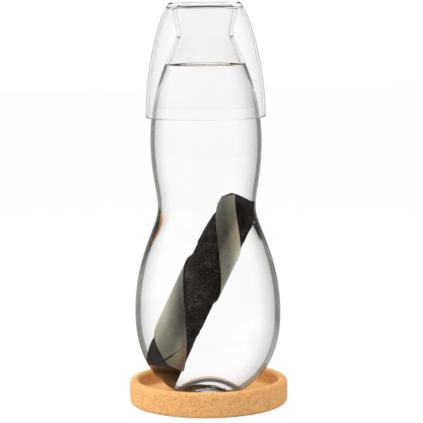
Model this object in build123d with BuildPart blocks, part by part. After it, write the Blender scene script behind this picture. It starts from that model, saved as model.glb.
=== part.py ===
from build123d import *

import os
from math import asin, atan, atan2, cos, degrees, hypot, radians, sin, sqrt, tan

os.makedirs("parts", exist_ok=True)

# A glass water carafe with its drinking glass upside down over the neck, on a cork tray.
# A charcoal stick in a steel ribbon leans inside. Millimetres, +Z up, the table at z = 0.
# Everything round stands on the Z axis, and the stick leans in the XZ plane, to +X.

# Clearances
part_gap = 0.3         # between curved faces of pieces that only rest against each other
coil_gap = 0.1         # between the ribbon's inner face and the charcoal

# Cork tray
tray_radius = 47.5
tray_height = 15.0
tray_floor = 6.0       # thickness of the cork under the carafe
tray_rim = 5.7         # width of the raised rim
tray_outer_round = 3.0
tray_inner_round = 2.2
tray_corner_round = 1.5

# Carafe: heights are above its own foot, and depths below its lip
carafe_height = 230.5
carafe_wall = 1.9
foot_radius = 18.0     # outside of the ring that it stands on
foot_ring = 1.0        # width of that ring
punt_height = 15.2     # rise of the dome under the base
punt_wall = 2.0
trough_floor = 3.6     # glass under the trough round the dome
trough_round = 2.0
heel_run = 4.0         # length of the first stretch of the side, and its rise
heel_rise = 3.5
belly_radius = 43.6
belly_height = 48.9
belly_drop = 37.4      # how far the side keeps near upright below and above the belly
belly_rise = 34.5
waist_radius = 29.2
waist_height = 112.3
waist_drop = 11.5
waist_rise = 10.7
bulge_radius = 33.1
bulge_depth = 78.1
bulge_drop = 21.2
bulge_rise = 33.5
neck_radius = 17.0
neck_depth = 16.5
neck_drop = 2.0
neck_rise = 5.1
lip_radius = 19.6
lip_drop = 5.2         # how far below the lip the flare starts
lip_lean = 7.0         # degrees that the lip leans outward

# Tumbler, which is the lid
tumbler_height = 69.0
tumbler_wall = 1.5
tumbler_base = 3.2
lip_margin = 1.8       # between the lip and the tumbler's wall at its base
bulge_margin = 1.0     # between the bulge and the tumbler's rim
tumbler_corner = 1.4   # round between the base and the side
tumbler_turn = 55.0    # degrees that the side slopes below the horizontal at the base
tumbler_shoulder = 12.4
tumbler_skirt = 26.8

# Charcoal stick, a little thinner at its foot
stick_foot_radius = 9.3
stick_top_radius = 11.0
stick_length = 115.0
stick_foot_edge = 2.0
stick_top_edge = 2.5

# Steel coil: one wide ribbon wound round the stick, its sizes taken along the stick
coil_pitch = 69.0
coil_width = 25.3
coil_thickness = 0.4
coil_edge = 38.5       # height of the ribbon's upper edge where it first faces the front
coil_slant = 11.0      # how far each turn slants down to the stick's leaning side
coil_tail = 14.5       # extra width where the last turn passes the back
coil_start = 13.0      # bare charcoal at the foot
coil_stop = 2.5        # bare charcoal at the top


# Cork tray

recess_radius = tray_radius - tray_rim

with BuildPart() as cork_tray:
    with BuildSketch(Plane.XZ):
        with BuildLine():
            Polyline(
                (0, 0),
                (tray_radius, 0),
                (tray_radius, tray_height),
                (recess_radius, tray_height),
                (recess_radius, tray_floor),
                (0, tray_floor),
                close=True,
            )
        make_face()
    revolve(axis=Axis.Z)
    circles = cork_tray.edges().filter_by(GeomType.CIRCLE)
    fillet(circles.filter_by(lambda edge: edge.radius == tray_radius), tray_outer_round)
    circles = cork_tray.edges().filter_by(GeomType.CIRCLE)
    recess = circles.filter_by(lambda edge: edge.radius == recess_radius)
    fillet(recess.sort_by(Axis.Z)[-1], tray_inner_round)
    circles = cork_tray.edges().filter_by(GeomType.CIRCLE)
    recess = circles.filter_by(lambda edge: edge.radius == recess_radius)
    fillet(recess.sort_by(Axis.Z)[0], tray_corner_round)
cork_tray.part.label = "cork_tray"


# Carafe

foot_z = tray_floor
belly_z = foot_z + belly_height
waist_z = foot_z + waist_height
lip_top_z = foot_z + carafe_height
bulge_z = lip_top_z - bulge_depth
neck_z = lip_top_z - neck_depth
lip_z = lip_top_z - carafe_wall / 2

# The dome under the base is a cap of a sphere, and the glass over it is one wall thicker.
punt_radius = foot_radius - foot_ring
dome_radius = (punt_radius**2 + punt_height**2) / (2 * punt_height)
dome_z = foot_z + punt_height - dome_radius
dome_inside = dome_radius + punt_wall

# The trough's round touches the dome's inside, and its lowest point is the trough's floor.
trough_z = foot_z + trough_floor
trough_centre_z = trough_z + trough_round
trough_reach = dome_inside + trough_round
trough_radius = sqrt(trough_reach**2 - (trough_centre_z - dome_z) ** 2)
trough_share = dome_inside / trough_reach
trough_start = (trough_radius * trough_share, dome_z + (trough_centre_z - dome_z) * trough_share)


def heel(inset, start):
    """Control points of the side from the foot, or from the trough, up to the belly."""
    radius, height = start
    return [
        (radius, height),
        (radius + heel_run, height + heel_rise),
        (belly_radius - inset, belly_z - belly_drop),
        (belly_radius - inset, belly_z),
    ]


def lower_side(inset):
    """Control points of the side from the belly up to the waist."""
    return [
        (belly_radius - inset, belly_z),
        (belly_radius - inset, belly_z + belly_rise),
        (waist_radius - inset, waist_z - waist_drop),
        (waist_radius - inset, waist_z),
    ]


def upper_side(inset):
    """Control points of the side from the waist up to the bulge."""
    return [
        (waist_radius - inset, waist_z),
        (waist_radius - inset, waist_z + waist_rise),
        (bulge_radius - inset, bulge_z - bulge_drop),
        (bulge_radius - inset, bulge_z),
    ]


def shoulder(inset):
    """Control points of the side from the bulge up to the neck."""
    return [
        (bulge_radius - inset, bulge_z),
        (bulge_radius - inset, bulge_z + bulge_rise),
        (neck_radius - inset, neck_z - neck_drop),
        (neck_radius - inset, neck_z),
    ]


def flare(inset):
    """Control points of the side from the neck up to the lip."""
    outward = radians(lip_lean)
    return [
        (neck_radius - inset, neck_z),
        (neck_radius - inset, neck_z + neck_rise),
        (lip_radius - inset - lip_drop * sin(outward), lip_z - lip_drop * cos(outward)),
        (lip_radius - inset, lip_z),
    ]


with BuildPart() as carafe:
    with BuildSketch(Plane.XZ):
        with BuildLine():
            TangentArc((0, foot_z + punt_height), (punt_radius, foot_z), tangent=(1, 0))
            Line((punt_radius, foot_z), (foot_radius, foot_z))
            Bezier(*heel(0, (foot_radius, foot_z)))
            for side in (lower_side, upper_side, shoulder, flare):
                Bezier(*side(0))
                Bezier(*side(carafe_wall))
            ThreePointArc(
                (lip_radius, lip_z),
                (lip_radius - carafe_wall / 2, lip_top_z),
                (lip_radius - carafe_wall, lip_z),
            )
            Bezier(*heel(carafe_wall, (trough_radius, trough_z)))
            TangentArc((trough_radius, trough_z), trough_start, tangent=(-1, 0))
            TangentArc((0, dome_z + dome_inside), trough_start, tangent=(1, 0))
            Line((0, foot_z + punt_height), (0, dome_z + dome_inside))
        make_face()
    revolve(axis=Axis.Z)

# The carafe is one blown piece. Its solid is parted at the waist, with no gap between the
# halves, so that each is a bowl with a wide mouth and nothing has to reach it past the neck.
with BuildPart() as carafe_lower:
    add(carafe)
    split(bisect_by=Plane.XY.offset(waist_z), keep=Keep.BOTTOM)
carafe_lower.part.label = "carafe_lower"

with BuildPart() as carafe_upper:
    add(carafe)
    split(bisect_by=Plane.XY.offset(waist_z), keep=Keep.TOP)
carafe_upper.part.label = "carafe_upper"


# Tumbler

tumbler_inside_z = lip_top_z + part_gap
tumbler_top_z = tumbler_inside_z + tumbler_base
rim_z = tumbler_top_z - tumbler_height
rim_side_z = rim_z + tumbler_wall / 2
rim_radius = bulge_radius + bulge_margin + tumbler_wall
turn = radians(tumbler_turn)

# The outer side runs one wall outside the inner side, so it starts where that line
# meets the round of the base.
inner_base_radius = lip_radius + lip_margin
side_z = tumbler_top_z - tumbler_corner * (1 - cos(turn))
side_rise = side_z - tumbler_inside_z
outer_base_radius = inner_base_radius + tumbler_wall / sin(turn) - side_rise / tan(turn)
base_flat_radius = outer_base_radius - tumbler_corner * sin(turn)


def tumbler_side(radius, height, shoulder_length, inset):
    """Control points of one face of the side, from the base down to the rim."""
    return [
        (radius, height),
        (radius + shoulder_length * cos(turn), height - shoulder_length * sin(turn)),
        (rim_radius - inset, rim_side_z + tumbler_skirt),
        (rim_radius - inset, rim_side_z),
    ]


inner_shoulder = tumbler_shoulder - side_rise / sin(turn)

with BuildPart() as tumbler:
    with BuildSketch(Plane.XZ):
        with BuildLine():
            Line((0, tumbler_top_z), (base_flat_radius, tumbler_top_z))
            TangentArc((base_flat_radius, tumbler_top_z), (outer_base_radius, side_z), tangent=(1, 0))
            Bezier(*tumbler_side(outer_base_radius, side_z, tumbler_shoulder, 0))
            ThreePointArc(
                (rim_radius, rim_side_z),
                (rim_radius - tumbler_wall / 2, rim_z),
                (rim_radius - tumbler_wall, rim_side_z),
            )
            Bezier(*tumbler_side(inner_base_radius, tumbler_inside_z, inner_shoulder, tumbler_wall))
            Line((inner_base_radius, tumbler_inside_z), (0, tumbler_inside_z))
            Line((0, tumbler_inside_z), (0, tumbler_top_z))
        make_face()
    revolve(axis=Axis.Z)
tumbler.part.label = "tumbler"


# Where the stick leans: its foot stands on the dome's shoulder and against the heel, and its
# side against the wall above, where the ribbon round it is the face that touches. Points of the
# inner wall are taken along its curves. The loop settles the foot and the lean step by step.

stick_taper = atan((stick_top_radius - stick_foot_radius) / stick_length)
foot_envelope = stick_foot_radius + coil_gap + coil_thickness
top_envelope = stick_top_radius + coil_gap + coil_thickness
wall_steps = 60
halvings = 30
settlings = 40
inner_wall = []
for side in (lower_side, upper_side):
    curve = Bezier(*side(carafe_wall), mode=Mode.PRIVATE)
    inner_wall += [curve @ (step / wall_steps) for step in range(wall_steps + 1)]
inner_heel = Bezier(*heel(carafe_wall, (trough_radius, trough_z)), mode=Mode.PRIVATE)


def heel_radius_at(height):
    """The radius of the heel's inside at a height, by halving."""
    low, high = 0.0, 1.0
    for _ in range(halvings):
        middle = (low + high) / 2
        if (inner_heel @ middle).Y < height:
            low = middle
        else:
            high = middle
    return (inner_heel @ low).X


def lean_from(foot_x, foot_z):
    """The largest lean of the stick, in radians, at which its side clears the inner wall."""
    reach = hypot(stick_length - coil_stop, top_envelope)
    side_offset = foot_envelope * cos(stick_taper)
    leans = []
    for point in inner_wall:
        across = point.X - part_gap - foot_x
        up = point.Y - foot_z
        span = hypot(across, up)
        if span < reach:
            leans.append(atan2(across, up) - asin(side_offset / span) - stick_taper)
    return min(leans)


lean = 0.0
foot_x = -trough_radius
stick_foot_z = trough_z + stick_foot_radius
dome_reach = dome_inside + part_gap
foot_face_radius = stick_foot_radius - stick_foot_edge
foot_corners = [(foot_face_radius, 0), (stick_foot_radius, stick_foot_edge)]
for _ in range(settlings):
    lean = lean_from(foot_x, stick_foot_z)
    rests = []
    stops = []
    for radius, height in foot_corners:
        low_x = foot_x + radius * cos(lean) + height * sin(lean)
        low_z = dome_z + sqrt(max(dome_reach**2 - low_x**2, 0))
        rests.append(low_z + radius * sin(lean) - height * cos(lean))
        heel_z = stick_foot_z + radius * sin(lean) + height * cos(lean)
        stops.append(radius * cos(lean) - height * sin(lean) - heel_radius_at(heel_z) + part_gap)
    stick_foot_z = (stick_foot_z + max(rests)) / 2
    foot_x = (foot_x + max(stops)) / 2
print(f"stick: foot x {foot_x:.2f}, z {stick_foot_z:.2f}, lean {degrees(lean):.2f} degrees")

# The stick's plane: Z along the stick, X towards the front, Y to the side that it leans to.
along = Vector(sin(lean), 0, cos(lean))
stick_plane = Plane(origin=(foot_x, 0, stick_foot_z), x_dir=(0, -1, 0), z_dir=along)
stick_axis = Axis(stick_plane.origin, along)


def lengthwise(turned):
    """The plane through the stick's axis, turned leftward from the front: Y is along the stick."""
    across = stick_plane.x_dir.rotate(stick_axis, -turned)
    return Plane(origin=stick_plane.origin, x_dir=across, z_dir=across.cross(along))


with BuildPart() as charcoal_stick:
    with BuildSketch(lengthwise(0)):
        Polygon(
            (0, 0),
            (foot_face_radius, 0),
            (stick_foot_radius, stick_foot_edge),
            (stick_top_radius, stick_length - stick_top_edge),
            (stick_top_radius - stick_top_edge, stick_length),
            (0, stick_length),
            align=None,
        )
    revolve(axis=stick_axis)
charcoal_stick.part.label = "charcoal_stick"


# Steel coil

coil_top = stick_length - coil_stop
section_step = 10      # degrees between the sections
first_turn = -120      # degrees turned from the front where the sections start and end
last_turn = 480


def inner_radius(height):
    """Inner radius of the ribbon at a height along the stick."""
    return stick_foot_radius + height * tan(stick_taper) + coil_gap


def upper_edge(turned):
    """Height of the ribbon's upper edge, at an angle turned leftward and up from the front."""
    return coil_edge + coil_pitch * turned / 360 + coil_slant * sin(radians(turned))


def lower_edge(turned):
    """Height of the lower edge. Up to the first half turn the tail makes the ribbon wider."""
    tail = coil_tail * sin(radians(turned)) if 0 < turned < 180 else 0
    return upper_edge(turned) - coil_width - tail


with BuildPart() as steel_coil:
    for turned in range(first_turn, last_turn + 1, section_step):
        low = lower_edge(turned)
        high = upper_edge(turned)
        with BuildSketch(lengthwise(turned)):
            Polygon(
                (inner_radius(low), low),
                (inner_radius(low) + coil_thickness, low),
                (inner_radius(high) + coil_thickness, high),
                (inner_radius(high), high),
                align=None,
            )
    loft(ruled=True)
    split(bisect_by=stick_plane.offset(coil_start), keep=Keep.TOP)
    split(bisect_by=stick_plane.offset(coil_top), keep=Keep.BOTTOM)
steel_coil.part.label = "steel_coil"

overlapping_turns = range(first_turn, last_turn - 360 + 1, section_step)
turn_gap = min(lower_edge(turned + 360) - upper_edge(turned) for turned in overlapping_turns)
print(f"ribbon: least gap between turns {turn_gap:.1f} mm")

for piece in [cork_tray, carafe_lower, carafe_upper, tumbler, charcoal_stick, steel_coil]:
    export_step(piece.part, f"parts/{piece.part.label}.step")
    print(piece.part.label, f"{piece.part.volume:.0f} mm3")
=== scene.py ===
# %% [markdown]
# A glass water carafe stands on a cork tray, with its drinking glass turned upside down over
# the neck. Charcoal in a steel ribbon leans in the water. Clear glass shows little of itself:
# what one sees is the white room bent through it. So each wall is modelled with its real
# thickness and the water as a body of its own, and the light does the rest.

import bpy
import numpy as np
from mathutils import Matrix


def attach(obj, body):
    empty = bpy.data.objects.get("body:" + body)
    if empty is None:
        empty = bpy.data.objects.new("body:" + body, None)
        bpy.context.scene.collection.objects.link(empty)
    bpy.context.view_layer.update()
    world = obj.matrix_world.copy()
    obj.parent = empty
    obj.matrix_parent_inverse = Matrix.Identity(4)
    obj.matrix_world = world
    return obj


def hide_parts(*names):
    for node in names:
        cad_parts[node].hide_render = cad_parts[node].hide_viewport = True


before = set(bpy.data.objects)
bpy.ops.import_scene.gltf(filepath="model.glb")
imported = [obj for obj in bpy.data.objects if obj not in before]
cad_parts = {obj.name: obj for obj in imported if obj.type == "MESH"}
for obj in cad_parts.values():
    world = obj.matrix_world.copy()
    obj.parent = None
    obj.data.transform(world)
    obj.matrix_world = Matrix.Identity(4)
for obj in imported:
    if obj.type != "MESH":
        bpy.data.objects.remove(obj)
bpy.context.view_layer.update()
scene = bpy.context.scene

# %% [markdown]
# The camera comes first, because every later choice is judged through it. It stands a little
# over a metre away, level with the top of the carafe, and looks slightly down. A long lens from
# there keeps the sides of the glass nearly upright. It could be aimed with a constraint, but
# three angles and a lens are easier to read.

# %% Camera
mm = 0.001
image_side = 423  # pixels
sensor_width = 36.0
focal_length_px = 1819.7
camera_distance = 1080 * mm
camera_height = 240 * mm
camera_pitch = np.radians(6.571)  # looking down
camera_yaw = np.radians(0.148)  # aimed a little right of the carafe's axis
camera_roll = np.radians(0.60)  # the carafe's top leans left in the picture

camera_data = bpy.data.cameras.new("camera")
camera_data.sensor_width = sensor_width
camera_data.lens = focal_length_px * sensor_width / image_side
camera = bpy.data.objects.new("camera", camera_data)
scene.collection.objects.link(camera)


def turn_about(axis, angle):
    """A 3 by 3 turn about the X (0) or Z (2) axis, with the angle's cosine and sine."""
    c, s = np.cos(angle), np.sin(angle)
    if axis == 0:
        return np.array([[1, 0, 0], [0, c, -s], [0, s, c]])
    return np.array([[c, -s, 0], [s, c, 0], [0, 0, 1]])


level = turn_about(0, np.pi / 2 - camera_pitch)
placed = np.eye(4)
placed[:3, :3] = turn_about(2, -camera_yaw) @ level @ turn_about(2, -camera_roll)
placed[:3, 3] = (0, -camera_distance, camera_height)
camera.matrix_world = placed.T
scene.camera = camera
print(f"lens {camera_data.lens:.1f} mm")

# %% [markdown]
# Nearly every piece here was turned, blown or pressed in the round, so one tool makes most of
# them: a profile of radius and height is carried round the axis. The profiles are Bezier curves
# and arcs, the same ones that the solid parts have, but with enough points for glass, where a
# facet would show as a broken reflection.


# %% Profiles
def bezier(controls, steps=40):
    """Cubic curve: controls weighted by (1-t)^3, 3t(1-t)^2, 3t^2(1-t) and t^3, t from 0 to 1."""
    t = np.linspace(0, 1, steps + 1)[:, None]
    a, b, c, d = np.array(controls, float)
    return a * (1 - t) ** 3 + 3 * b * t * (1 - t) ** 2 + 3 * c * t**2 * (1 - t) + d * t**3


def arc(centre, radius, start, end, steps=10):
    """Centre plus radius times cosine and sine of the angles from start to end, in degrees."""
    angle = np.radians(np.linspace(start, end, steps + 1))
    return np.array(centre) + radius * np.stack([np.cos(angle), np.sin(angle)], axis=1)


def joined(*runs):
    """The runs one after another, without the points that repeat the one before."""
    points = np.concatenate([np.atleast_2d(run) for run in runs])
    apart = np.linalg.norm(np.diff(points, axis=0), axis=1) > 1e-7
    return points[np.concatenate([[True], apart])]


def evenly(profile, spacing):
    """The profile with points a spacing apart: radius and height read off along its length."""
    length = np.concatenate([[0], np.cumsum(np.linalg.norm(np.diff(profile, axis=0), axis=1))])
    places = np.linspace(0, length[-1], max(int(length[-1] / spacing), 2) + 1)
    return np.stack([np.interp(places, length, profile[:, k]) for k in (0, 1)], axis=1)


# %% [markdown]
# Blender's Spin could carry a profile round, but it leaves a seam to weld and poles to close.
# Worked out as arrays, the last column of each ring joins the first one, and one point closes
# each pole. A profile is drawn with the material on its left, so that faces point outwards.


# %% Points and faces of a turned surface
def turned_points(profile, segments):
    """Radius times cosine, radius times sine, and height, with one point at each pole."""
    angle = np.arange(segments) * 2 * np.pi / segments
    radius, height = profile[1:-1, 0, None], profile[1:-1, 1, None]
    x, y = radius * np.cos(angle), radius * np.sin(angle)
    around = np.stack([x, y, height + 0 * angle], axis=-1)
    poles = np.array([[0, 0, profile[0, 1]], [0, 0, profile[-1, 1]]])
    return np.concatenate([poles[:1], around.reshape(-1, 3), poles[1:]])


def turned_faces(rings, segments):
    """Squares between the rings, then a fan at each pole."""
    ring = 1 + segments * np.arange(rings - 1)[:, None]
    here = np.arange(segments)
    after = (here + 1) % segments
    next_ring = ring + segments
    corners = [ring + here, ring + after, next_ring + after, next_ring + here]
    squares = np.stack(corners, axis=-1)
    last = 1 + segments * (rings - 1)
    first_fan = np.stack([0 * here, 1 + after, 1 + here], axis=-1)
    last_fan = np.stack([last + here, last + after, 0 * here + last + segments], axis=-1)
    return squares.reshape(-1, 4).tolist() + first_fan.tolist() + last_fan.tolist()


# %% A mesh as a piece of the model
def put_piece(name, points, faces, body, nodes=(), slot=None, crease=None):
    """A smooth mesh object at the origin, which rides on its body and stands for its nodes."""
    mesh = bpy.data.meshes.new(name)
    mesh.from_pydata(points.tolist(), [], faces)
    mesh.polygons.foreach_set("use_smooth", np.ones(len(mesh.polygons), bool))
    if crease is not None:
        mesh.set_sharp_from_angle(angle=np.radians(crease))
    mesh.update()
    piece = bpy.data.objects.new(name, mesh)
    scene.collection.objects.link(piece)
    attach(piece, body)
    if nodes:
        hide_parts(*nodes)
    print(f"{name}: {len(mesh.vertices)} points, {len(mesh.polygons)} faces")
    return piece


def turned_piece(name, profile, segments, body, **how):
    """A piece whose surface is the profile carried round the axis."""
    points = turned_points(profile, segments)
    return put_piece(name, points, turned_faces(len(profile) - 2, segments), body, **how)


def second_material_from(piece, row, rows, segments):
    """The faces from the given profile row to the last pole take the second material."""
    slots = np.zeros(len(piece.data.polygons), np.int32)
    slots[(row - 1) * segments:(rows - 3) * segments] = 1
    slots[-segments:] = 1
    piece.data.polygons.foreach_set("material_index", slots)


# %% [markdown]
# Cork and charcoal are rough in ways that no profile has. What roughens them is noise: a number
# that changes smoothly from place to place. A Displace modifier could do it too. Worked out
# here, it is the same each run, and it can be stretched along a grain.


# %% Smooth noise for rough surfaces
def lattice_value(cells, seed):
    """A repeatable number from 0 to 1 for each lattice point: what is left of a large sine."""
    mix = cells @ np.array([127.1, 311.7, 74.7]) + seed * 19.19
    return np.modf(np.abs(np.sin(mix) * 43758.5453))[0]


def noise_at(points, cell, seed):
    """From 0 to 1: the corners of each point's lattice cell, blended by 3t^2 - 2t^3."""
    places = points / cell
    base = np.floor(places)
    t = places - base
    t = t * t * (3 - 2 * t)
    total = np.zeros(len(points))
    for corner in np.ndindex(2, 2, 2):
        weight = np.prod(np.where(corner, t, 1 - t), axis=-1)
        total += weight * lattice_value(base + corner, seed)
    return total


def only_over(value, start, span):
    """0 where the value is below the start, and evenly up to 1 over the span above it."""
    return np.clip((value - start) / span, 0, 1)


# %% [markdown]
# The tray is pressed cork: granules a millimetre or two across, glued, turned and sanded. Its
# rims are rounded over, and small pits are left where granules tore out. The pits could be bump
# only, but along the rim they break the outline, so they are pushed into the mesh.

# %% Cork tray's profile
tray_radius = 47.5 * mm
tray_height = 15 * mm
tray_floor = 6 * mm
tray_rim = 5.7 * mm
outer_round = 3 * mm
inner_round = 2.2 * mm
corner_round = 1.5 * mm
recess_radius = tray_radius - tray_rim

tray_profile = joined(
    (0, 0),
    arc((tray_radius - outer_round, outer_round), outer_round, -90, 0),
    arc((tray_radius - outer_round, tray_height - outer_round), outer_round, 0, 90),
    arc((recess_radius + inner_round, tray_height - inner_round), inner_round, 90, 180),
    arc((recess_radius - corner_round, tray_floor + corner_round), corner_round, 0, -90),
    (0, tray_floor),
)

# %% Cork tray with its pits
tray_spacing = 0.75 * mm
tray_segments = 520
pit_size = 1.1 * mm
pit_depth = 0.22 * mm
grain_size = 0.6 * mm
grain_depth = 0.05 * mm

tray_profile = evenly(tray_profile, tray_spacing)
tray_points = turned_points(tray_profile, tray_segments)
pits = only_over(noise_at(tray_points, pit_size, seed=3), 0.72, 0.2)
grain = noise_at(tray_points, grain_size, seed=5)
rim_middle = tray_radius - tray_rim / 2
reach = np.hypot(tray_points[:, 0], tray_points[:, 1])
outward = np.where(reach > rim_middle, 1, -1) * (tray_points[:, 2] > outer_round)
push = (pit_depth * pits + grain_depth * grain) * outward
tray_points[:, :2] *= (1 - push / np.maximum(reach, mm))[:, None]
cork_tray = put_piece(
    "cork_tray_turned", tray_points, turned_faces(len(tray_profile) - 2, tray_segments),
    "base", nodes=["cork_tray"], slot="cork",
)

# %% [markdown]
# The carafe is blown glass in one wall: up the outside from the foot, over the lip, and back
# down the inside to the dome under the base. A single skin with a thickness added later would
# be quicker, but the inside has its own bottom, a trough round the dome, so both faces are
# drawn. The side is upright at the belly, the waist, the bulge and the neck, and it is given by
# how far it runs on above and below each of them.

# %% Carafe sizes
foot_z = tray_floor
carafe_height = 230.5 * mm
carafe_wall = 1.9 * mm
foot_radius = 18 * mm
punt_radius = 17 * mm  # the punt is the dome under the base
punt_height = 15.2 * mm
punt_wall = 2 * mm
trough_floor = 3.6 * mm
trough_round = 2 * mm
heel_run, heel_rise = 4 * mm, 3.5 * mm
lip_top_z = foot_z + carafe_height
lip_z = lip_top_z - carafe_wall / 2
lip_radius = 19.6 * mm
lip_lean = np.radians(7)
lip_drop = 5.2 * mm

belly = (43.6 * mm, foot_z + 48.9 * mm)
waist = (29.2 * mm, foot_z + 112.3 * mm)
bulge = (33.1 * mm, lip_top_z - 78.1 * mm)
neck = (17.0 * mm, lip_top_z - 16.5 * mm)
belly_drop, belly_rise = 37.4 * mm, 34.5 * mm
waist_drop, waist_rise = 11.5 * mm, 10.7 * mm
bulge_drop, bulge_rise = 21.2 * mm, 33.5 * mm
neck_drop, neck_rise = 2.0 * mm, 5.1 * mm
print(f"carafe {carafe_height / mm} mm tall, {2 * belly[0] / mm} mm across the belly")


# %% Carafe's side
def stretch(low, high, low_run, high_run, inset):
    """A cubic curve that is upright at both ends, moved inwards by the inset."""
    (low_radius, low_height), (high_radius, high_height) = low, high
    return bezier([
        (low_radius - inset, low_height),
        (low_radius - inset, low_height + low_run),
        (high_radius - inset, high_height - high_run),
        (high_radius - inset, high_height),
    ])


def heel(start, inset):
    """A cubic curve from the foot, or from the trough inside, out and up to the belly."""
    radius, height = start
    return bezier([
        (radius, height),
        (radius + heel_run, height + heel_rise),
        (belly[0] - inset, belly[1] - belly_drop),
        (belly[0] - inset, belly[1]),
    ])


def flare(inset):
    """A cubic curve from the upright neck out to the lip, which leans outwards."""
    lip = np.array([lip_radius - inset, lip_z])
    flare_start = lip - lip_drop * np.array([np.sin(lip_lean), np.cos(lip_lean)])
    return bezier([
        (neck[0] - inset, neck[1]),
        (neck[0] - inset, neck[1] + neck_rise),
        flare_start,
        lip,
    ], steps=16)


def side_above_heel(inset):
    """The stretches from the belly to the lip, one after another."""
    return joined(
        stretch(belly, waist, belly_rise, waist_drop, inset),
        stretch(waist, bulge, waist_rise, bulge_drop, inset),
        stretch(bulge, neck, bulge_rise, neck_drop, inset),
        flare(inset),
    )


# %% Carafe's dome and trough
dome_radius = (punt_radius**2 + punt_height**2) / (2 * punt_height)
dome_z = foot_z + punt_height - dome_radius
dome_inside = dome_radius + punt_wall
trough_z = foot_z + trough_floor
trough_centre_z = trough_z + trough_round
trough_reach = dome_inside + trough_round
trough_radius = np.sqrt(trough_reach**2 - (trough_centre_z - dome_z) ** 2)
touch_angle = np.degrees(np.arctan2(trough_centre_z - dome_z, trough_radius))
punt_angle = np.degrees(np.arctan2(foot_z - dome_z, punt_radius))

inner_base = joined(
    arc((0, dome_z), dome_inside, 90, touch_angle, steps=24),
    arc((trough_radius, trough_centre_z), trough_round, 180 + touch_angle, 270),
)
inner_side = joined(heel((trough_radius, trough_z), carafe_wall), side_above_heel(carafe_wall))
outer_side = joined(heel((foot_radius, foot_z), 0), side_above_heel(0))
print(f"the dome is a cap of a sphere {dome_radius / mm:.1f} mm in radius")

# %% [markdown]
# Wet glass and dry glass bend light differently, so the inner wall has to change its material
# exactly where the water ends. The place where the water's edge meets the wall is found on the
# profile and added to it as a point of its own. The carafe and the water then share it.

# %% Water line on the inner wall
water_z = 202 * mm
climb = 1.4 * mm  # how far the water climbs the glass
contact_z = water_z + climb
above = int(np.argmax(inner_side[:, 1] > contact_z))
step = inner_side[above] - inner_side[above - 1]
contact_share = (contact_z - inner_side[above - 1, 1]) / step[1]
contact = inner_side[above - 1] + step * contact_share
inner_side = np.insert(inner_side, above, contact, axis=0)
wetted = joined(inner_base, inner_side[:above + 1])
print(f"the water meets the glass at radius {contact[0] / mm:.1f} mm")

# %% Carafe
carafe_profile = joined(
    arc((0, dome_z), dome_radius, 90, punt_angle, steps=24),
    outer_side,
    arc((lip_radius - carafe_wall / 2, lip_z), carafe_wall / 2, 0, 180, steps=8),
    inner_side[::-1],
    inner_base[::-1],
)
glass_segments = 216
carafe = turned_piece(
    "carafe_blown", carafe_profile, glass_segments, "vessel",
    nodes=["carafe_lower", "carafe_upper"], slot="carafe_glass",
)
rows = len(carafe_profile)
second_material_from(carafe, rows - len(wetted), rows, glass_segments)

# %% [markdown]
# The tumbler is a thin drinking glass with a thicker flat base. It hangs upside down with the
# inside of its base on the carafe's lip. It could be the same shape at two sizes, but its base
# is twice as thick as its side, so the inner and the outer face start from different heights.

# %% Tumbler sizes
tumbler_height = 67.8 * mm
tumbler_wall = 1.5 * mm
tumbler_base = 3.2 * mm
tumbler_corner = 1.4 * mm  # round between the base and the side
tumbler_slope = 55  # degrees that the side slopes below the horizontal at the base
tumbler_turn = np.radians(tumbler_slope)
tumbler_shoulder = 12.4 * mm
tumbler_skirt = 26.8 * mm
rest_gap = 0.3 * mm
lip_margin = 1.8 * mm
bulge_margin = 1.0 * mm

tumbler_inside_z = lip_top_z + rest_gap
tumbler_top_z = tumbler_inside_z + tumbler_base
rim_side_z = tumbler_top_z - tumbler_height + tumbler_wall / 2
rim_radius = bulge[0] + bulge_margin + tumbler_wall
inner_base_radius = lip_radius + lip_margin
side_z = tumbler_top_z - tumbler_corner * (1 - np.cos(tumbler_turn))
side_rise = side_z - tumbler_inside_z
outer_base_radius = (
    inner_base_radius + tumbler_wall / np.sin(tumbler_turn) - side_rise / np.tan(tumbler_turn)
)
base_flat_radius = outer_base_radius - tumbler_corner * np.sin(tumbler_turn)
print(f"tumbler {tumbler_height / mm} mm tall, {2 * rim_radius / mm:.1f} mm across the rim")


# %% Tumbler
def tumbler_side(radius, height, shoulder, inset):
    """A cubic curve, upright at the rim, that leans in by the slope where it meets the base."""
    return bezier([
        (rim_radius - inset, rim_side_z),
        (rim_radius - inset, rim_side_z + tumbler_skirt),
        (radius + shoulder * np.cos(tumbler_turn), height - shoulder * np.sin(tumbler_turn)),
        (radius, height),
    ])


inner_shoulder = tumbler_shoulder - side_rise / np.sin(tumbler_turn)
corner_z = tumbler_top_z - tumbler_corner
tumbler_profile = joined(
    (0, tumbler_inside_z),
    tumbler_side(inner_base_radius, tumbler_inside_z, inner_shoulder, tumbler_wall)[::-1],
    arc((rim_radius - tumbler_wall / 2, rim_side_z), tumbler_wall / 2, 180, 360, steps=8),
    tumbler_side(outer_base_radius, side_z, tumbler_shoulder, 0),
    arc((base_flat_radius, corner_z), tumbler_corner, 90 - tumbler_slope, 90, steps=8),
    (0, tumbler_top_z),
)
tumbler = turned_piece(
    "tumbler_blown", tumbler_profile, glass_segments, "lid",
    nodes=["tumbler"], slot="tumbler_glass",
)

# %% [markdown]
# The water is a body of its own that reaches a hair into the glass, so that no film of air is
# left between. Light bends three times here: from air to glass, from glass to water, and at the
# top from water to air. The faces of the carafe that are wet take the middle step, and the
# water's own wall takes none. At the top the water climbs the glass in a small curve, and that
# curve is the dark line that one sees.

# %% Water
water_overlap = 0.12 * mm
climb_run = 1.0 * mm
climb_reach = 9 * mm
climb_steps = 28

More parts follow.
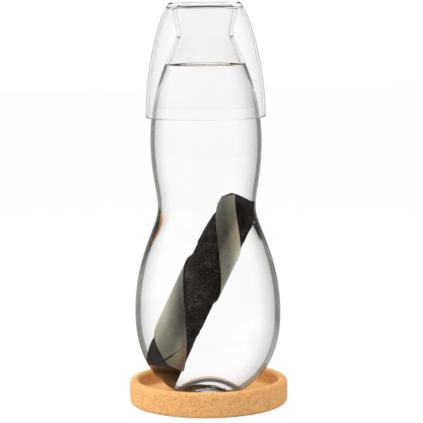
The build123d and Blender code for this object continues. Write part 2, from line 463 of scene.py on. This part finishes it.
along_wall = np.gradient(wetted, axis=0)
into_glass = np.stack([along_wall[:, 1], -along_wall[:, 0]], axis=1)
into_glass /= np.linalg.norm(into_glass, axis=1, keepdims=True)
into_glass[0] = (0, -1)
held = wetted + water_overlap * into_glass
held[-1] = contact + (water_overlap, 0)
run = np.linspace(0, climb_reach, climb_steps)[1:]
lifted = climb * np.exp(-run / climb_run)
top = np.stack([contact[0] - run, water_z + lifted], axis=1)
water_profile = joined(held, top, (0, water_z))
water = turned_piece("water", water_profile, glass_segments, "vessel")
second_material_from(water, len(held) - 1, len(water_profile), glass_segments)

# %% [markdown]
# The charcoal was a branch: nearly round, a little thinner at one end, with a pitted, cracked
# skin and a top that was sawn off at a slant. It is turned like the rest, then its skin is
# pushed in by noise of several sizes and its top is sheared. The noise only takes away, so the
# charcoal stays inside the ribbon. Sculpting would look as good, but it can't be read.

# %% Where the charcoal leans
stick_foot = np.array([-25.23, 0, 16.91]) * mm
stick_lean = np.radians(21.97)
stick_length = 115 * mm
stick_foot_radius = 9.3 * mm
stick_top_radius = 11.0 * mm
stick_foot_edge = 2.0 * mm
stick_top_edge = 2.5 * mm

stick_along = np.array([np.sin(stick_lean), 0, np.cos(stick_lean)])
stick_front = np.array([0.0, -1.0, 0.0])
stick_side = np.cross(stick_along, stick_front)


def on_stick(points):
    """Points given by front, side and length along the stick, moved to where it leans."""
    return stick_foot + points @ np.stack([stick_front, stick_side, stick_along])


def stick_radius_at(length):
    """The radius grows evenly from the foot to the top."""
    return stick_foot_radius + (stick_top_radius - stick_foot_radius) * length / stick_length


end_middle = 0.8 * mm
end_to_front = 0.20
end_to_left = 0.155


def end_rise(front, side):
    """How far the sawn end lies past the stick's length: a plane that is high at front left."""
    return end_middle + end_to_front * front - end_to_left * side


# %% Charcoal stick
stick_spacing = 0.42 * mm
stick_segments = 200
stick_profile = evenly(joined(
    (0, 0),
    (stick_foot_radius - stick_foot_edge, 0),
    (stick_foot_radius, stick_foot_edge),
    (stick_top_radius, stick_length - stick_top_edge),
    (stick_top_radius - stick_top_edge, stick_length),
    (0, stick_length),
), stick_spacing)
stick_points = turned_points(stick_profile, stick_segments)

grained = stick_points * [1, 1, 0.45]  # the grain runs along the stick
dents = 0.35 * mm * noise_at(grained, cell=7 * mm, seed=11)
cracks = 0.42 * mm * noise_at(grained, cell=2.2 * mm, seed=12)
grit = 0.26 * mm * noise_at(stick_points, cell=0.8 * mm, seed=13)
chips = 0.8 * mm * only_over(noise_at(grained, cell=3.4 * mm, seed=14), 0.5, 0.35)
whole_foot = 20 * mm  # no chips below this length, and all of them from twice as far up
above_foot = np.clip(stick_points[:, 2] / whole_foot - 1, 0, 1)
worn = dents + cracks + grit + chips * above_foot
from_axis = np.hypot(stick_points[:, 0], stick_points[:, 1])
stick_points[:, :2] *= (1 - worn / np.maximum(from_axis, 3 * mm))[:, None]

slant_reach = 14 * mm  # how far down from the top the slant is felt
end_share = np.clip(1 - (stick_length - stick_points[:, 2]) / slant_reach, 0, 1)
stick_points[:, 2] += end_share * end_rise(stick_points[:, 0], stick_points[:, 1])
charcoal = put_piece(
    "charcoal", on_stick(stick_points), turned_faces(len(stick_profile) - 2, stick_segments),
    "filter", nodes=["charcoal_stick"], slot="charcoal",
)

# %% [markdown]
# The ribbon is one wide strip of satin steel wound round the charcoal like a spring. A curve
# with a bevel would twist at its ends. Here its two edges are curves of height against the
# angle turned, so the strip is a grid of those two, with a hair of thickness. Its top follows
# the charcoal's sawn end. At the foot it is lapped: an end piece lies under the main strip, and
# a narrow slit opens between them towards the left.

# %% Ribbon's edges
ribbon_first, ribbon_last, ribbon_step = -120, 480, 2.0  # degrees turned
ribbon_gap = 0.1 * mm
ribbon_thickness = 0.4 * mm
ribbon_pitch = 69 * mm
ribbon_width = 25.3 * mm
ribbon_edge = 38.5 * mm
ribbon_slant = 11 * mm
ribbon_tail = 14.5 * mm
ribbon_start = 13.0 * mm
ribbon_stop = stick_length - 0.6 * mm


def ribbon_edges(turned):
    """Lower and upper edge: a steady climb plus a sine, and a wider tail in the first half."""
    around = np.sin(np.radians(turned))
    upper = ribbon_edge + ribbon_pitch * turned / 360 + ribbon_slant * around
    tail = np.where((turned > 0) & (turned < 180), ribbon_tail * around, 0)
    return upper - ribbon_width - tail, upper


def ribbon_points(turned, length, lift):
    """Points round the stick: its radius there plus the lift, turned left from the front."""
    angle = np.radians(turned)
    radius = stick_radius_at(length) + lift
    front, side = radius * np.cos(angle), -radius * np.sin(angle)
    return on_stick(np.stack([front, side, length], axis=-1))


# %% A strip between two edges
across = 24
thinnest = 0.02 * mm
share_across = np.linspace(0, 1, across + 1)


def ribbon_grid(turned, low, high, inner_lift, outer_lift):
    """A closed strip: a loop of points across each section, outside up and inside down."""
    length = low[:, None] + (high - low)[:, None] * share_across
    angles = np.repeat(turned[:, None], across + 1, axis=1)
    outside = ribbon_points(angles, length, outer_lift)
    inside = ribbon_points(angles, length, inner_lift)
    loops = np.concatenate([outside, inside[:, ::-1]], axis=1)
    sections, count = loops.shape[:2]
    start = count * np.arange(sections - 1)[:, None]
    here = np.arange(count)
    after = (here + 1) % count
    corners = [start + here, start + count + here, start + count + after, start + after]
    squares = np.stack(corners, axis=-1)
    first_cap = [here.tolist()]
    last_cap = [(count * (sections - 1) + here[::-1]).tolist()]
    faces = squares.reshape(-1, 4).tolist() + first_cap + last_cap
    return loops.reshape(-1, 3), faces


def ribbon_strip(name, turned, low, high, lift, **how):
    """A strip whose points keep their shares of the whole turn and width, for its finish."""
    shown = high - low > thinnest
    turned, low, high = turned[shown], low[shown], high[shown]
    points, faces = ribbon_grid(turned, low, high, lift, lift + ribbon_thickness)
    piece = put_piece(name, points, faces, "filter", slot="ribbon_steel", crease=40, **how)
    full_low, full_high = ribbon_edges(turned)
    length = low[:, None] + (high - low)[:, None] * share_across
    width_share = (length - full_low[:, None]) / (full_high - full_low)[:, None]
    width_share = np.concatenate([width_share, width_share[:, ::-1]], axis=1).ravel()
    turn_share = (turned - ribbon_first) / (ribbon_last - ribbon_first)
    turn_share = np.repeat(turn_share, 2 * (across + 1))
    shares = np.stack([turn_share, width_share, 0 * turn_share], axis=1)
    strip = piece.data.attributes.new("strip", "FLOAT_VECTOR", "POINT")
    strip.data.foreach_set("vector", shares.ravel())
    return piece


# %% Ribbon's two ends
top_cut = 3.0 * mm  # the strip stops short at the top left
top_cut_from, top_cut_over = 385, 25  # degrees turned
turned = np.arange(ribbon_first, ribbon_last + 1, ribbon_step)
around = np.radians(turned)
front, side = stick_top_radius * np.cos(around), -stick_top_radius * np.sin(around)
end_step = top_cut * only_over(turned, top_cut_from, top_cut_over)
stop = ribbon_stop + end_rise(front, side) - end_step
full_low, full_high = ribbon_edges(turned)
low = np.clip(full_low, ribbon_start, stop)
high = np.clip(full_high, ribbon_start, stop)

lap_from, lap_to = -26, 40  # degrees turned
slit_height = 17.6 * mm  # at the front
slit_fall = 0.274 * mm  # for each degree turned
slit_width = 1.9 * mm
slit_opens_over = 35
slit = slit_height - slit_fall * turned
half_slit = slit_width * only_over(turned, lap_from, slit_opens_over) / 2

# %% Ribbon and its lapped end
under_sink = 0.06 * mm  # how much nearer to the charcoal the end piece lies
under_reach = 6  # degrees that it starts earlier
lapped = (turned >= lap_from) & (turned <= lap_to)
main_low = np.where(lapped, np.maximum(low, slit + half_slit), low)
ribbon = ribbon_strip("ribbon", turned, main_low, high, ribbon_gap, nodes=["steel_coil"])
under = (turned >= lap_from - under_reach) & (turned <= lap_to)
end_low, end_high = low[under], np.minimum(slit - half_slit, high)[under]
end_lift = ribbon_gap - under_sink
ribbon_end = ribbon_strip("ribbon_end", turned[under], end_low, end_high, end_lift)

# %% [markdown]
# Materials are graphs of nodes. Written out one link at a time they are hard to read, so one
# helper makes a node, sets it and feeds it, and a graph then reads from left to right. Every
# pattern follows Object coordinates, which stay with the piece when it moves.


# %% Nodes
def add(tree, kind, feeds=(), **settings):
    """A new node with its settings, and each input fed by a socket or set to a value."""
    node = tree.nodes.new(kind)
    for name, value in settings.items():
        setattr(node, name, value)
    for name, value in dict(feeds).items():
        if isinstance(value, bpy.types.NodeSocket):
            tree.links.new(value, node.inputs[name])
        else:
            node.inputs[name].default_value = value
    return node


def ramp(tree, factor, stops):
    """The colours at their places from 0 to 1, read off at the factor."""
    node = add(tree, "ShaderNodeValToRGB", {"Fac": factor})
    elements = node.color_ramp.elements
    while len(elements) < len(stops):
        elements.new(0.5)
    for element, (place, colour) in zip(elements, stops):
        element.position = place
        element.color = (*colour, 1)
    return node.outputs["Color"]


def grey(value):
    """The same share of red, green and blue."""
    return (value, value, value)


def blend(tree, share, first, second, how="MIX"):
    """The first colour passing into the second by a share from 0 to 1."""
    feeds = {0: share, 6: first, 7: second}
    return add(tree, "ShaderNodeMix", feeds, data_type="RGBA", blend_type=how).outputs[2]


def lighter(tree, first, second):
    """The lighter of two tones."""
    return blend(tree, 1.0, first, second, "LIGHTEN")


def times(tree, first, second):
    """One tone multiplied by the other."""
    return blend(tree, 1.0, first, second, "MULTIPLY")


# %% Materials
def surface(name, feeds):
    """A material with these values on its shader, then its tree, shader and Object place."""
    material = bpy.data.materials.new(name)
    material.use_nodes = True
    tree = material.node_tree
    shader = tree.nodes["Principled BSDF"]
    for socket, value in feeds.items():
        shader.inputs[socket].default_value = value
    place = add(tree, "ShaderNodeTexCoord").outputs["Object"]
    return material, tree, shader, place


def dress(piece, *materials):
    """The materials on the piece, in the order in which its faces number them."""
    for material in materials:
        piece.data.materials.append(material)
        print(f"{piece.name}: {material.name}, {len(material.node_tree.nodes)} nodes")


# %% [markdown]
# Cork has no even colour: each granule is a bit of bark of its own tone, from honey to brown.
# A cell pattern gives every cell a random number, and that number picks the tone. Noise would
# be quicker, but it has no edges, and granules do.

# %% Cork
granule_scale = 900  # cells a metre
cork, tree, shader, place = surface("pressed_cork", {"Roughness": 0.75, "Specular IOR Level": 0.3})
cells = {"Vector": place, "Scale": granule_scale, "Randomness": 1}
granules = add(tree, "ShaderNodeTexVoronoi", cells)
granule_tone = add(tree, "ShaderNodeSeparateColor", {"Color": granules.outputs["Color"]})
tones = ramp(tree, granule_tone.outputs["Red"], [
    (0.0, (0.65, 0.305, 0.092)),
    (0.12, (0.72, 0.362, 0.125)),
    (0.50, (0.775, 0.407, 0.148)),
    (1.0, (0.845, 0.477, 0.195)),
])
tree.links.new(tones, shader.inputs["Base Color"])
dress(cork_tray, cork)

# %% [markdown]
# Clear glass is dark at its edges, where it bends and mirrors the dark room, and a little green
# where one looks along its wall. Here the dark edge is painted shade: the share by which a face
# turns away from the eye darkens its colour. Volume absorption would give only the faint green,
# and it would have to be added up through glass in water in glass. In front of the water the
# painted edges are wider, darker and greener, and this fades in over the first stretch below the
# water line. The tumbler is thinner, and only its side has a painted edge.

# %% Clear materials
glass_bend = 1.47
water_bend = 1.333
thin_glass_bend = 1.28  # less than real glass, which keeps the thin wall's dark edges fine


def clear_material(name, bend):
    """Colourless, and bending light by the given ratio of its speeds on the two sides."""
    feeds = {"Base Color": (1, 1, 1, 1), "Transmission Weight": 1, "Roughness": 0, "IOR": bend}
    return surface(name, feeds)


def glass_material(name, bend, gloss, upper, lower, change, edge_grey_shade, edge_start, edge_full):
    """Glass whose edges are painted with shade: the upper tint above one height, the lower below.

    The painted shade sets in at one share of turning away and is full at the other. Below, a
    lighter grey painted shade leads up to it.
    """
    material, tree, shader, place = clear_material(name, bend)
    shader.inputs["Specular Tint"].default_value = (*grey(gloss), 1)
    turning = add(tree, "ShaderNodeLayerWeight", {"Blend": 0.5}).outputs["Facing"]
    height = add(tree, "ShaderNodeSeparateXYZ", {0: place}).outputs["Z"]
    heights = {0: height, 1: change[0], 2: change[1], 3: 0, 4: 1}
    below = add(tree, "ShaderNodeMapRange", heights).outputs[0]
    edge_grey_shade_start = 0.32
    # The edge tints are painted shade, standing in for the dark room that the glass bends and
    # mirrors.
    painted_edge_shade_above = ramp(tree, turning, [(edge_start, grey(1)), (edge_full, upper)])
    painted_edge_shade_below = ramp(tree, turning, [
        (edge_grey_shade_start, grey(1)), (edge_start, grey(edge_grey_shade)), (edge_full, lower)
    ])
    tree.links.new(blend(tree, below, painted_edge_shade_above, painted_edge_shade_below), shader.inputs["Base Color"])
    return material


# %% Glass and water
wet_fade = 24 * mm
# Painted shade on the carafe's edges: light grey above the water, dark olive in front of it.
carafe_glass = glass_material(
    "carafe_glass", glass_bend, gloss=0.6, upper=grey(0.7), lower=(0.115, 0.127, 0.10),
    change=(contact_z, contact_z - wet_fade), edge_grey_shade=0.62, edge_start=0.605, edge_full=0.63,
)
wet_glass = clear_material("wet_glass", glass_bend / water_bend)[0]
dress(carafe, carafe_glass, wet_glass)

base_from = tumbler_inside_z - 0.5 * mm
base_to = tumbler_inside_z - 4 * mm
# Painted shade on the tumbler's edges, dark only along its side.
tumbler_glass = glass_material(
    "tumbler_glass", thin_glass_bend, gloss=1.0, upper=grey(0.75), lower=(0.16, 0.17, 0.16),
    change=(base_from, base_to), edge_grey_shade=0.88, edge_start=0.78, edge_full=0.92,
)
dress(tumbler, tumbler_glass)

water_beside_glass = clear_material("water_beside_glass", 1.0)[0]
water_top = clear_material("water_top", water_bend)[0]
dress(water, water_beside_glass, water_top)

# %% [markdown]
# Charcoal is nearly black, but its broken cells catch light as fine brown-grey specks, thicker
# in some patches than in others. The same specks give both colour and bump, so that the light
# ones stand out. Speck by speck geometry would take millions of faces.

# %% Charcoal
speck_scale = 1500
patch_scale = 150
patch_share = 0.3
coal, tree, shader, place = surface("charcoal", {"Roughness": 0.8, "Specular IOR Level": 0.05})
speck_feeds = {"Vector": place, "Scale": speck_scale, "Detail": 4, "Roughness": 0.65}
specks = add(tree, "ShaderNodeTexNoise", speck_feeds).outputs["Fac"]
patch_feeds = {"Vector": place, "Scale": patch_scale, "Detail": 2}
patches = add(tree, "ShaderNodeTexNoise", patch_feeds).outputs["Fac"]
speckled = {0: patches, 1: patch_share, 2: specks}
speckled = add(tree, "ShaderNodeMath", speckled, operation="MULTIPLY_ADD").outputs[0]
speck_tone = ramp(tree, speckled, [
    (0.54, (0.006, 0.005, 0.004)),
    (0.67, (0.020, 0.0155, 0.013)),
    (0.75, (0.041, 0.032, 0.026)),
    (0.87, (0.14, 0.115, 0.092)),
])
tree.links.new(speck_tone, shader.inputs["Base Color"])
relief = add(tree, "ShaderNodeBump", {"Strength": 0.7, "Distance": 0.4 * mm, "Height": specks})
tree.links.new(relief.outputs[0], shader.inputs["Normal"])
dress(charcoal, coal)

# %% [markdown]
# The ribbon is satin steel, blasted to a fine grain. It is painted darker where it would lie in
# shade: on the lower part of the top turn, on the upper part of the turn below, and round the
# side that faces right. This painted shade follows the strip, so it reads the strip's own shares
# of turn (X) and width (Y), which a pattern in space couldn't do.

# %% Steel's painted shade along the strip
steel, tree, shader, place = surface("satin_steel", {"Metallic": 1, "Roughness": 0.45})
strip = add(tree, "ShaderNodeAttribute", attribute_name="strip").outputs["Vector"]
strip = add(tree, "ShaderNodeSeparateXYZ", {0: strip})
along, width = strip.outputs["X"], strip.outputs["Y"]
# These masks mark painted shade: the top turn's lower part, the upper part of the turn below, and
# the side facing right.
upper_turn = ramp(tree, along, [(0.56, grey(0)), (0.70, grey(1))])
lower_edge = ramp(tree, width, [(0.45, grey(1)), (0.95, grey(0))])
lower_turn = ramp(tree, along, [(0.45, grey(1)), (0.52, grey(0))])
upper_edge = ramp(tree, width, [(0.35, grey(0)), (0.85, grey(1))])
right_side = ramp(tree, along, [(0.13, grey(1)), (0.23, grey(0))])
painted_shade_above = times(tree, upper_turn, lower_edge)
painted_shade_below = lighter(tree, times(tree, lower_turn, upper_edge), right_side)
painted_shade = lighter(tree, painted_shade_above, painted_shade_below)

# %% Steel's grain and colour
blast_scale = 1300
blast_feeds = {"Vector": place, "Scale": blast_scale, "Detail": 3}
blasted = add(tree, "ShaderNodeTexNoise", blast_feeds).outputs["Fac"]
bright = ramp(tree, blasted, [(0.35, (0.66, 0.64, 0.50)), (0.65, (0.82, 0.795, 0.62))])
# The darker tone is painted shade, laid on where the masks above say.
painted_shade_tone = ramp(tree, blasted, [(0.38, (0.22, 0.215, 0.17)), (0.62, (0.31, 0.30, 0.235))])
tree.links.new(blend(tree, painted_shade, bright, painted_shade_tone), shader.inputs["Base Color"])
dress(ribbon, steel)
dress(ribbon_end, steel)

# %% [markdown]
# The room is a white studio. What one looks at directly is pure white, and through the glass
# one sees the backdrop, a little greyer towards the left. What glass and steel mirror is the
# room: dark, with a white wall behind, a dim window at the left front, a lit strip of ceiling
# and a white table to the right. Cards and a real room could be built for it, but they would
# also light the object, so these tones depend on a ray's direction alone.


# %% Tones by direction
def towards(tree, direction, aim, stops):
    """A tone by how far a ray agrees with the aim: half of 1 plus their dot product."""
    dot = add(tree, "ShaderNodeVectorMath", {0: direction, 1: aim}, operation="DOT_PRODUCT")
    halved = {0: dot.outputs["Value"], 1: 0.5, 2: 0.5}
    share = add(tree, "ShaderNodeMath", halved, operation="MULTIPLY_ADD").outputs[0]
    return ramp(tree, share, [(place, grey(tone)) for place, tone in stops])


def greater(tree, value, than):
    """1 where the value is over the other, and 0 elsewhere."""
    return add(tree, "ShaderNodeMath", {0: value, 1: than}, operation="GREATER_THAN").outputs[0]


# %% The room in a mirror
dark_room = 0.09


def mirrored_room(tree, direction, inside):
    """Light patches in a dark room: one set for the outer face, one for mirrors inside."""
    up, back_wall, left_wall = (0, 0, 1), (0, 1, 0), (-0.55, 0.83, 0.1)
    window_at, lit_ceiling = (-0.71, -0.41, 0.57), (0.2, 0.1, 0.97)
    window = towards(tree, direction, window_at, [(0.82, dark_room), (0.94, 0.45)])
    overhead = towards(tree, direction, lit_ceiling, [(0.93, dark_room), (0.97, 1)])
    left = towards(tree, direction, left_wall, [
        (0.10, dark_room), (0.24, 0.14), (0.57, 0.38), (0.76, 0.56), (0.95, 1)
    ])
    back = towards(tree, direction, back_wall, [(0.75, dark_room), (0.85, 1)])
    faint_back = towards(tree, direction, back_wall, [(0.88, 0.06), (0.96, 0.5)])
    room = blend(tree, inside, lighter(tree, window, faint_back), lighter(tree, left, back))
    low_ceiling = towards(tree, direction, up, [(0.62, 1), (0.66, 0.1)])
    beside_back = towards(tree, direction, back_wall, [(0.80, 1), (0.90, 0)])
    ceiling = towards(tree, direction, up, [(0.71, 1), (0.77, 0.12)])
    room = times(tree, room, lighter(tree, low_ceiling, beside_back))
    return lighter(tree, times(tree, room, ceiling), overhead)


# %% What a ray sees of the studio
def studio_seen(tree, direction, table=None):
    """White if looked at, the backdrop if seen through glass, and the room if mirrored.

    With it comes 1 for rays that see the studio, and 0 for those that only gather light.
    """
    path = add(tree, "ShaderNodeLightPath")
    mirrored = greater(tree, path.outputs["Glossy Depth"], 0.5)
    inside = greater(tree, path.outputs["Transmission Depth"], 0.5)
    backdrop = towards(tree, direction, (-1, 0, 0), [
        (0.64, 1), (0.69, 0.93), (0.82, 0.80), (0.97, 0.97)
    ])
    room = mirrored_room(tree, direction, inside)
    if table:
        room = blend(tree, table, room, (*grey(0.9), 1))
    tone = blend(tree, mirrored, backdrop, room)
    looked_at = path.outputs["Is Camera Ray"]
    tone = blend(tree, looked_at, tone, (1, 1, 1, 1))
    seen = add(tree, "ShaderNodeEmission", {"Color": tone, "Strength": 1}).outputs[0]
    for kind in ("Is Glossy Ray", "Is Transmission Ray"):
        pair = {0: looked_at, 1: path.outputs[kind]}
        looked_at = add(tree, "ShaderNodeMath", pair, operation="MAXIMUM").outputs[0]
    return seen, looked_at


# %% [markdown]
# The floor is white paper. Nearly all of what one sees of it is the studio's white, and a few
# percent is real paper, which is what keeps the object's soft shadow. In mirrors a white table
# lies to the object's right, by distance from its middle.

# %% Floor
floor_reach = 4.0
floor_z = -0.2 * mm
floor_mesh = bpy.data.meshes.new("floor")
corners = [(x, y, floor_z) for x, y in ((-1, -1), (1, -1), (1, 1), (-1, 1))]
corners = np.array(corners) * [floor_reach, floor_reach, 1]
floor_mesh.from_pydata(corners.tolist(), [], [(0, 1, 2, 3)])
floor = bpy.data.objects.new("floor", floor_mesh)
scene.collection.objects.link(floor)

paper, tree, shader, place = surface("white_paper", {"Roughness": 0.9, "Specular IOR Level": 0})
shader.inputs["Base Color"].default_value = (*grey(0.92), 1)
direction = add(tree, "ShaderNodeVectorMath", {0: place}, operation="NORMALIZE").outputs[0]
table_middle = (0.19, -0.04, floor_z)
distance = add(tree, "ShaderNodeVectorMath", {0: place, 1: table_middle}, operation="DISTANCE")
table = ramp(tree, distance.outputs["Value"], [(0.14, grey(1)), (0.24, grey(0))])
seen, looked_at = studio_seen(tree, direction, table)
seen_share = 0.965
white_share = add(tree, "ShaderNodeMath", {0: looked_at, 1: seen_share}, operation="MULTIPLY")
mixed = {0: white_share.outputs[0], 1: shader.outputs[0], 2: seen}
blended = add(tree, "ShaderNodeMixShader", mixed)
tree.links.new(blended.outputs[0], tree.nodes["Material Output"].inputs["Surface"])
dress(floor, paper)

# %% [markdown]
# The world has two sides. Rays that see it get the studio's tones, and matt surfaces gather an
# even soft light from it, as from white walls all round.

# %% World
fill_strength = 0.51
world = bpy.data.worlds.new("white_studio")
scene.world = world
world.use_nodes = True
tree = world.node_tree
direction = add(tree, "ShaderNodeTexCoord").outputs["Generated"]
fill = add(tree, "ShaderNodeBackground", {"Color": (1, 1, 1, 1), "Strength": fill_strength})
seen, looked_at = studio_seen(tree, direction)
whole = add(tree, "ShaderNodeMixShader", {0: looked_at, 1: fill.outputs[0], 2: seen})
tree.links.new(whole.outputs[0], tree.nodes["World Output"].inputs["Surface"])
print(f"world: {len(tree.nodes)} nodes, fill {fill_strength}")

# %% [markdown]
# Three soft lamps give the cork, the charcoal and the steel their light, most of it from above
# and from the left. As hard white squares they would show in the glass, so they light only what
# is matt. The glass and the water cast no shadow, because real ones let the light through.


# %% Lamps
def soft_lamp(name, place, target, side, power):
    """A square area lamp that faces its target and doesn't show in glass or steel."""
    lamp = bpy.data.lights.new(name, "AREA")
    lamp.size = side
    lamp.energy = power
    holder = bpy.data.objects.new(name, lamp)
    scene.collection.objects.link(holder)
    holder.location = place
    away = np.array(place) - np.array(target)
    tilt = np.arctan2(np.hypot(away[0], away[1]), away[2])
    holder.rotation_euler = (tilt, 0, np.arctan2(away[1], away[0]) + np.pi / 2)
    holder.visible_glossy = False
    holder.visible_transmission = False
    print(f"{name}: {power} W from {np.linalg.norm(away):.2f} m")
    return holder


lamp_side = 0.7
middle = (0, 0, 0.1)
soft_lamp("key", (-1.15, -0.35, 0.9), middle, lamp_side, 10.5)
soft_lamp("top", (0.05, 0.2, 1.3), (0, 0, 0), lamp_side, 12)
soft_lamp("side", (0.9, -0.4, 0.7), middle, lamp_side, 0.4)
for clear in (carafe, tumbler, water):
    clear.visible_shadow = False

# %% [markdown]
# A ray through the middle crosses up to a dozen faces of glass and water, and along the edges
# it bounces inside the wall as well. With the usual number of bounces those places turn black,
# so more are allowed.

# %% Render depth for glass in glass in glass
glass_bounces = 32
scene.cycles.max_bounces = glass_bounces
scene.cycles.transmission_bounces = glass_bounces
scene.cycles.glossy_bounces = 12
scene.view_settings.view_transform = "Standard"
print(f"light may bounce {glass_bounces} times")
